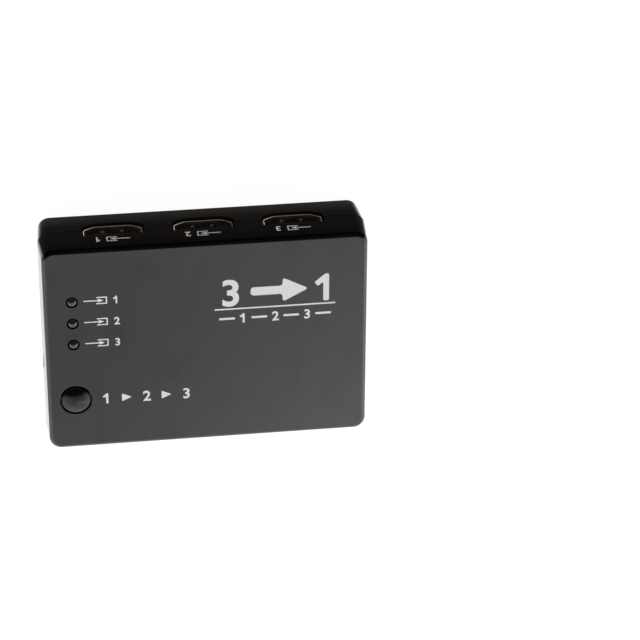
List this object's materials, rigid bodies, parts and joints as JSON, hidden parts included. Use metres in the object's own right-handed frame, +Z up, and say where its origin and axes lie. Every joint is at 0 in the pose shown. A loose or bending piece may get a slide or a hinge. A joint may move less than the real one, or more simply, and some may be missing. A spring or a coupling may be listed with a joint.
{
  "type": "video switch box",
  "caption": "Small flat black switch box that sends one of several video inputs to one output, with a domed select button and round indicator lamps on top.",
  "frame": {"origin": "centre of the footprint, on the surface that the feet stand on", "axes": "+X right along the long side, +Y to the rear wall with the inputs, +Z up"},
  "size_m": [0.0806, 0.0574, 0.0198],
  "materials": {
    "gloss_black": "gloss moulded plastic",
    "satin_black": "satin moulded plastic",
    "button_black": "gloss moulded plastic",
    "lamp_lens": "dark tinted lens, unlit",
    "gold_plate": "thin gold plating on sheet",
    "moulding_black": "matt moulding",
    "foot_rubber": "matt rubber",
    "screw_steel": "black zinc",
    "tinned_steel": "tinned",
    "board_green": "solder mask on glass epoxy",
    "chip_black": "matt moulding compound",
    "can_aluminium": "drawn can",
    "window_dark": "dark infrared-passing plastic",
    "ceramic_tan": "fired ceramic"
  },
  "bodies": {
    "case": {"top_cover": "gloss_black", "bottom_cover": "satin_black", "case_screws": "screw_steel", "rubber_feet": "foot_rubber", "circuit_board": "board_green", "tact_switch_base": "moulding_black", "tact_switch_plate": "tinned_steel", "tact_switch_dome": "tinned_steel", "tact_switch_pins": "tinned_steel", "lamp_1": "lamp_lens", "lamp_2": "lamp_lens", "lamp_3": "lamp_lens", "lamp_leads": "tinned_steel", "lamp_spacers": "moulding_black", "input_1_shell": "gold_plate", "input_1_tongue": "moulding_black", "input_1_contacts": "gold_plate", "input_2_shell": "gold_plate", "input_2_tongue": "moulding_black", "input_2_contacts": "gold_plate", "input_3_shell": "gold_plate", "input_3_tongue": "moulding_black", "input_3_contacts": "gold_plate", "output_shell": "gold_plate", "output_tongue": "moulding_black", "output_contacts": "gold_plate", "power_jack_housing": "moulding_black", "power_jack_pin": "tinned_steel", "power_jack_leaf": "tinned_steel", "receiver_window": "window_dark", "infrared_receiver": "window_dark", "receiver_leads": "tinned_steel", "switching_chip": "chip_black", "switching_chip_leads": "tinned_steel", "control_chip": "chip_black", "control_chip_leads": "tinned_steel", "voltage_regulator": "chip_black", "regulator_leads": "tinned_steel", "power_capacitor": "can_aluminium", "power_capacitor_base": "moulding_black", "crystal": "tinned_steel", "chip_capacitors": "ceramic_tan", "chip_resistors": "chip_black"},
    "button": {"select_button": "button_black", "tact_switch_plunger": "moulding_black"}
  },
  "joints": [
    {"name": "button_press", "type": "slide", "parent": "case", "child": "button", "axis": [0, 0, -1], "range_m": [0, 0.0003], "stiffness_N_per_m": 1000, "springref_m": -0.001, "deforming": ["tact_switch_dome"]}
  ]
}
